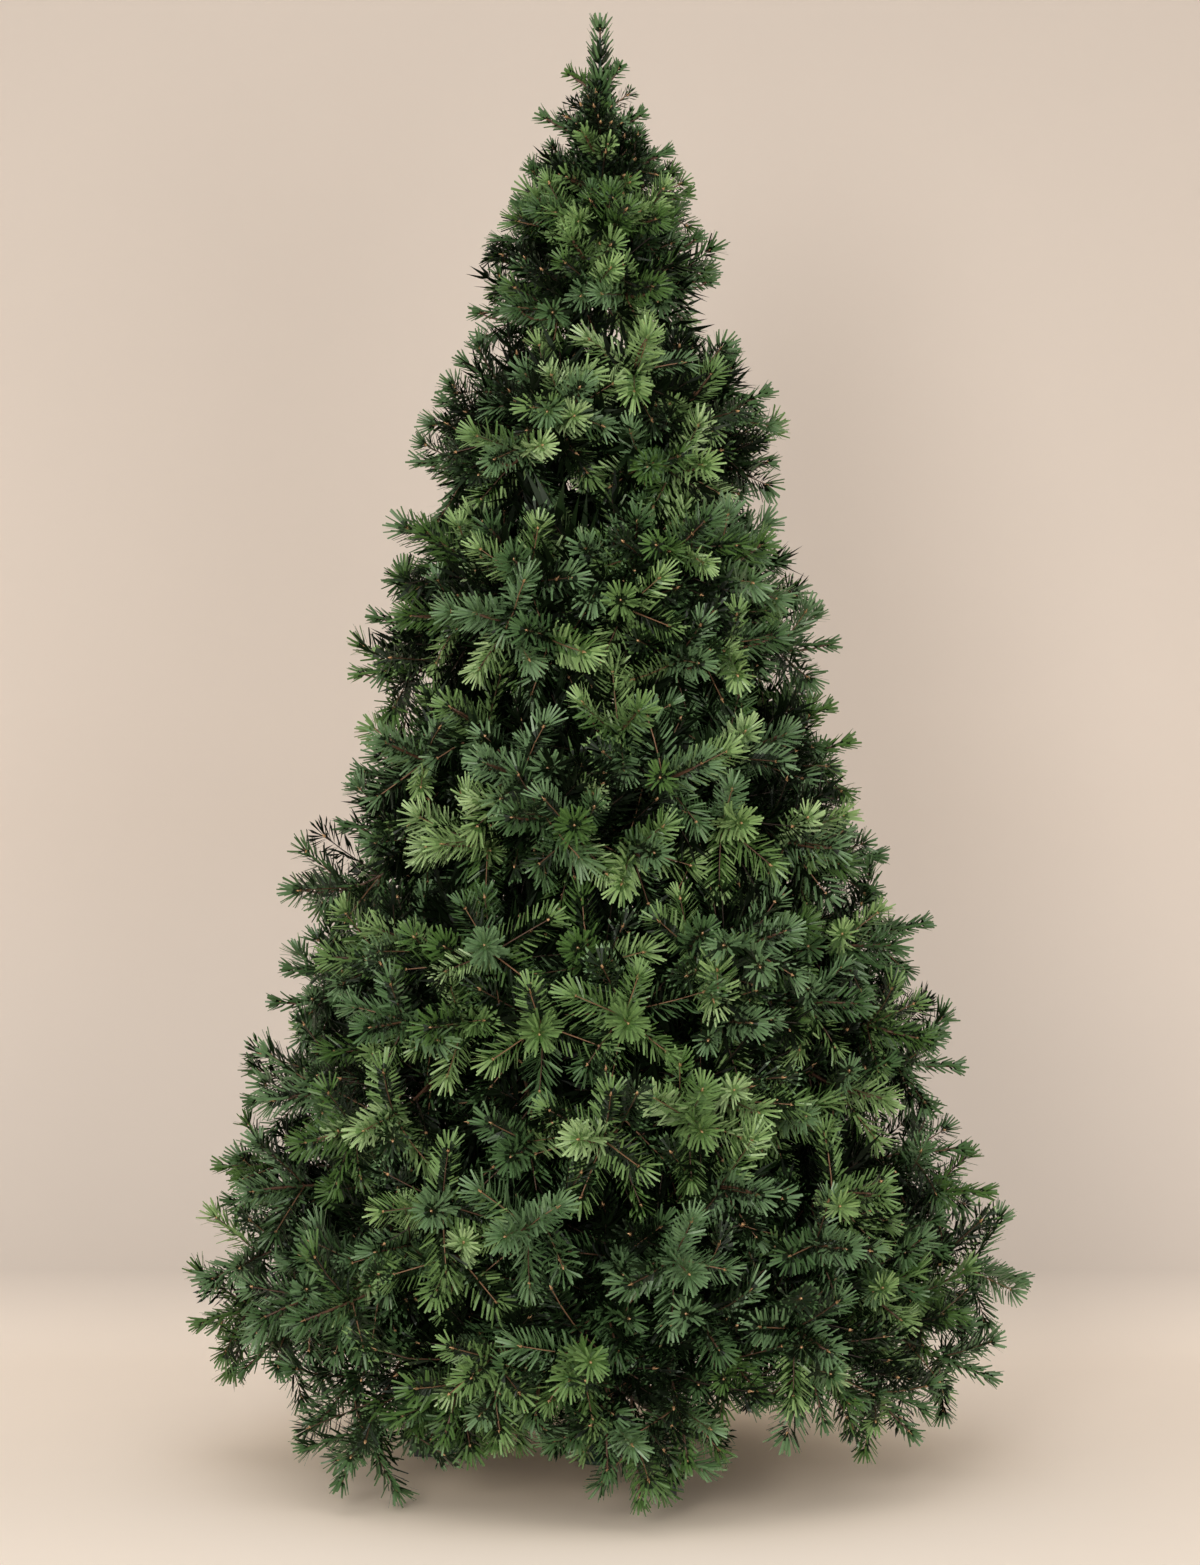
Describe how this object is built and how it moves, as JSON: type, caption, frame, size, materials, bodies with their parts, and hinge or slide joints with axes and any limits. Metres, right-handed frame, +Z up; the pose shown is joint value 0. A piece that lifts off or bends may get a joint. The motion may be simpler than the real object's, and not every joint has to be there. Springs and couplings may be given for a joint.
{
  "type": "artificial christmas tree",
  "caption": "Full, undecorated artificial Christmas tree: a slim cone of needled boughs on a steel pole, standing in a plain folding metal stand with legs hidden under the lowest boughs.",
  "frame": {"origin": "middle of the flat underside of the stand's socket, on the floor, on the pole's axis", "axes": "+Z up along the pole, -Y towards the front of the tree, +X to the right of someone facing that front"},
  "size_m": [1.2534, 1.2374, 2.1],
  "materials": {
    "needles": "matt moulded needles in two greens, most dark blue green and about a quarter bright green",
    "bough": "steel wire boughs wrapped in red brown film",
    "pole": "dark green satin powder coat",
    "stand": "dark green satin powder coat"
  },
  "bodies": {
    "root": {"trunk": "pole", "bough_1_1": "bough", "bough_1_2": "bough", "bough_1_3": "bough", "bough_1_4": "bough", "bough_1_5": "bough", "bough_1_6": "bough", "bough_1_7": "bough", "bough_2_1": "bough", "bough_2_2": "bough", "bough_2_3": "bough", "bough_2_4": "bough", "bough_2_5": "bough", "bough_3_1": "bough", "bough_3_2": "bough", "bough_3_3": "bough", "bough_3_4": "bough", "bough_3_5": "bough", "bough_4_1": "bough", "bough_4_2": "bough", "bough_4_3": "bough", "bough_4_4": "bough", "bough_5_1": "bough", "bough_5_2": "bough", "bough_5_3": "bough", "bough_6_1": "bough", "bough_6_2": "bough", "bough_6_3": "bough", "foliage_1_1": "needles", "foliage_1_2": "needles", "foliage_1_3": "needles", "foliage_1_4": "needles", "foliage_1_5": "needles", "foliage_1_6": "needles", "foliage_1_7": "needles", "foliage_2_1": "needles", "foliage_2_2": "needles", "foliage_2_3": "needles", "foliage_2_4": "needles", "foliage_2_5": "needles", "foliage_3_1": "needles", "foliage_3_2": "needles", "foliage_3_3": "needles", "foliage_3_4": "needles", "foliage_3_5": "needles", "foliage_4_1": "needles", "foliage_4_2": "needles", "foliage_4_3": "needles", "foliage_4_4": "needles", "foliage_5_1": "needles", "foliage_5_2": "needles", "foliage_5_3": "needles", "foliage_6_1": "needles", "foliage_6_2": "needles", "foliage_6_3": "needles", "foliage_leader": "needles", "stand_socket": "stand", "stand_leg_1": "stand", "stand_leg_2": "stand", "stand_leg_3": "stand"}
  },
  "joints": []
}
